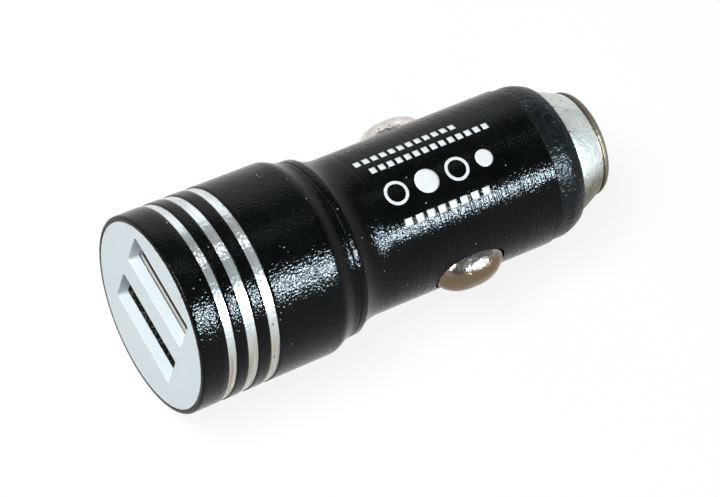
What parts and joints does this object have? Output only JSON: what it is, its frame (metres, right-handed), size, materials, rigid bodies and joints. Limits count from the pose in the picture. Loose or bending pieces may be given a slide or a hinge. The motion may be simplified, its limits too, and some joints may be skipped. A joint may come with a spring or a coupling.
{
  "type": "car usb charger plug",
  "caption": "Round car charger plug with USB sockets in its face, sprung side contacts and a sprung centre contact.",
  "frame": {"origin": "on the plug's axis, in the plane of the USB face", "axes": "+X along the plug from the USB face to the tip, +Y across the sockets, +Z from the lower socket to the upper one"},
  "size_m": [0.0589, 0.024, 0.024],
  "materials": {
    "black_shell": "black coated turned metal with three bare bands",
    "white_face": "satin moulded",
    "socket_metal": "bright nickel plated sheet",
    "black_insulator": "moulded",
    "gold_contacts": "gold flashed",
    "circuit_board": "solder mask",
    "ferrite": "matt",
    "copper_wire": "enamelled",
    "capacitor_can": "sleeved",
    "black_chip": "moulded",
    "chip_ceramic": "matt",
    "tinned_metal": "tinned",
    "polished_nickel": "polished",
    "spring_steel": "drawn",
    "cream_insulator": "moulded",
    "brass_terminal": "stamped",
    "matt_nickel": "fine grained",
    "black_collar": "coarse textured"
  },
  "bodies": {
    "housing": {"shell": "black_shell", "face_plate": "white_face", "usb_shell_upper": "socket_metal", "usb_shell_lower": "socket_metal", "usb_block_upper": "black_insulator", "usb_block_lower": "black_insulator", "usb_contacts_upper": "gold_contacts", "usb_contacts_lower": "gold_contacts", "main_board": "circuit_board", "choke_core": "ferrite", "choke_winding": "copper_wire", "input_capacitor": "capacitor_can", "output_capacitor": "capacitor_can", "converter_chip": "black_chip", "port_control_chip": "black_chip", "rectifier_diode": "black_chip", "input_fuse": "chip_ceramic", "chip_capacitors": "chip_ceramic", "chip_resistors": "chip_ceramic", "ground_clip_left": "tinned_metal", "ground_clip_right": "tinned_metal", "side_spring_left": "spring_steel", "side_spring_right": "spring_steel", "carrier": "cream_insulator", "centre_terminal": "brass_terminal", "centre_spring": "spring_steel", "nose_collar": "black_collar"},
    "centre_contact": {"centre_contact": "matt_nickel"},
    "side_contact_left": {"side_contact_left": "polished_nickel"},
    "side_contact_right": {"side_contact_right": "polished_nickel"}
  },
  "joints": [
    {"name": "centre_press", "type": "slide", "parent": "housing", "child": "centre_contact", "axis": [-1, 0, 0], "range_m": [0, 0.0022], "stiffness_N_per_m": 1500, "springref_m": -0.002, "deforming": ["centre_spring"]},
    {"name": "side_press_left", "type": "slide", "parent": "housing", "child": "side_contact_left", "axis": [0, -1, 0], "range_m": [0, 0.0018], "stiffness_N_per_m": 900, "springref_m": -0.0015, "deforming": ["side_spring_left"]},
    {"name": "side_press_right", "type": "slide", "parent": "housing", "child": "side_contact_right", "axis": [0, 1, 0], "range_m": [0, 0.0018], "stiffness_N_per_m": 900, "springref_m": -0.0015, "deforming": ["side_spring_right"]}
  ]
}
